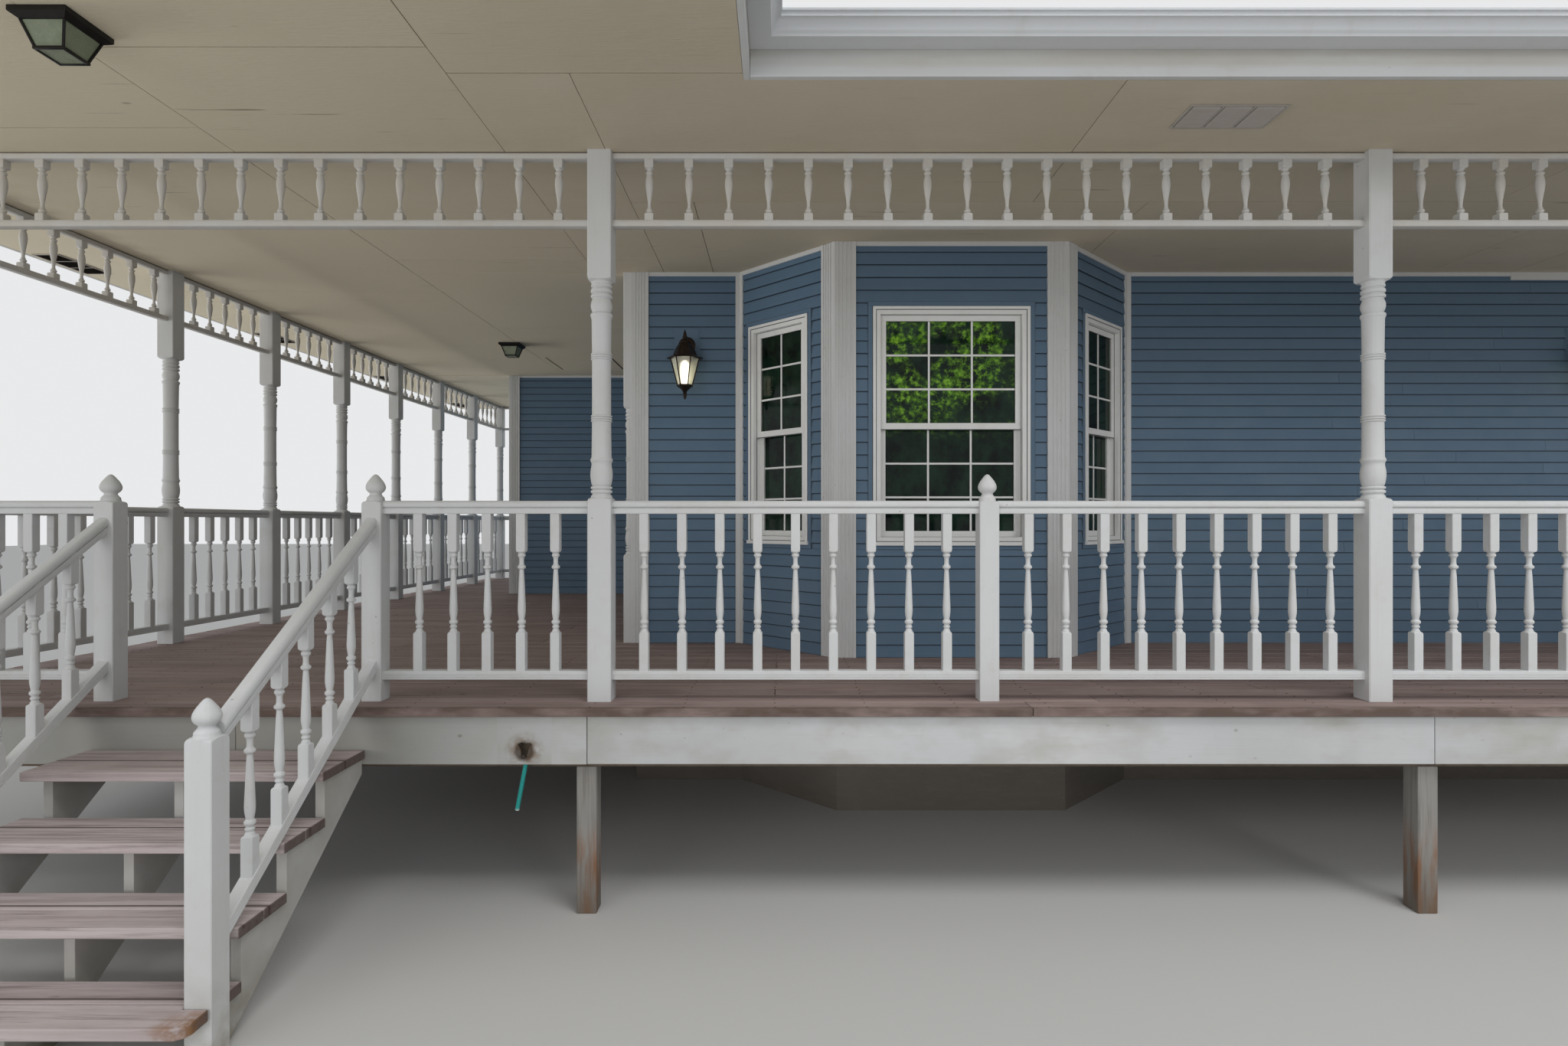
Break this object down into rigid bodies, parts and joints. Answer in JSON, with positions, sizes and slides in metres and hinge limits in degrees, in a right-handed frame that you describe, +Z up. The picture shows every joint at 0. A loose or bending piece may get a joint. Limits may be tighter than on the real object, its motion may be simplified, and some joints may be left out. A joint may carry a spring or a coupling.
{
  "type": "wraparound front porch",
  "caption": "Raised L-shaped wooden porch with turned posts, spindle frieze, baluster railings, open stairs under a gable, hipped roof and the house wall with a windowed bay behind it.",
  "frame": {"origin": "middle of the bounding box's base, at ground level", "axes": "+X along the front towards the right end, +Y from the front steps back to the house, +Z up"},
  "size_m": [11.966, 10.051, 5.03],
  "materials": {
    "trim_paint": "matte off-white exterior paint on wood",
    "deck_timber": "weathered grey-brown softwood boards",
    "tread_timber": "weathered grey-brown softwood, darker along the edges",
    "frame_timber": "aged unpainted softwood",
    "ceiling_paint": "cream paint on rough-sawn plywood",
    "vent_metal": "cream painted sheet metal",
    "siding": "slate blue siding with a fine grain",
    "window_vinyl": "white satin vinyl",
    "window_glass": "clear double glazing with a dark room behind",
    "lamp_metal": "dark bronze powder coat",
    "lamp_glass": "seeded and frosted lantern panes",
    "shingles": "charcoal mineral-faced shingles",
    "concrete": "cast concrete",
    "gutter_metal": "white painted sheet",
    "tube_plastic": "teal plastic"
  },
  "bodies": {
    "root": {"foundation_front": "concrete", "foundation_side": "concrete", "support_posts": "trim_paint", "floor_frame_front": "frame_timber", "floor_frame_wing": "frame_timber", "rim_boards": "trim_paint", "deck_front": "deck_timber", "deck_wing": "deck_timber", "stair_stringers": "trim_paint", "tread_1": "tread_timber", "tread_2": "tread_timber", "tread_3": "tread_timber", "tread_4": "tread_timber", "stair_newels": "trim_paint", "stair_railings": "trim_paint", "deck_newels": "trim_paint", "front_posts": "trim_paint", "wing_posts": "trim_paint", "railing_left": "trim_paint", "railing_stair": "trim_paint", "railing_centre": "trim_paint", "railing_right": "trim_paint", "railing_wing": "trim_paint", "railing_ends": "trim_paint", "frieze_left": "trim_paint", "frieze_centre": "trim_paint", "frieze_right": "trim_paint", "frieze_wing": "trim_paint", "frieze_ends": "trim_paint", "ceiling_front": "ceiling_paint", "ceiling_gable": "ceiling_paint", "ceiling_wing": "ceiling_paint", "soffit_vents": "vent_metal", "wall_front": "siding", "wall_side": "siding", "wall_return": "siding", "wall_rear": "siding", "bay_walls": "siding", "corner_pilasters": "trim_paint", "half_post": "trim_paint", "wall_trim": "trim_paint", "window_frames": "window_vinyl", "window_glass": "window_glass", "lantern_blocks": "siding", "wall_lanterns": "lamp_metal", "ceiling_lights": "lamp_metal", "lamp_glass": "lamp_glass", "fascia_boards": "trim_paint", "roof_left": "shingles", "roof_front": "shingles", "roof_gable": "shingles", "roof_end": "shingles", "gable_ends": "siding", "rake_boards": "trim_paint", "gutter_front": "gutter_metal", "gutter_gable": "gutter_metal", "gutter_left": "gutter_metal", "gutter_end": "gutter_metal", "drain_tube": "tube_plastic"}
  },
  "joints": []
}
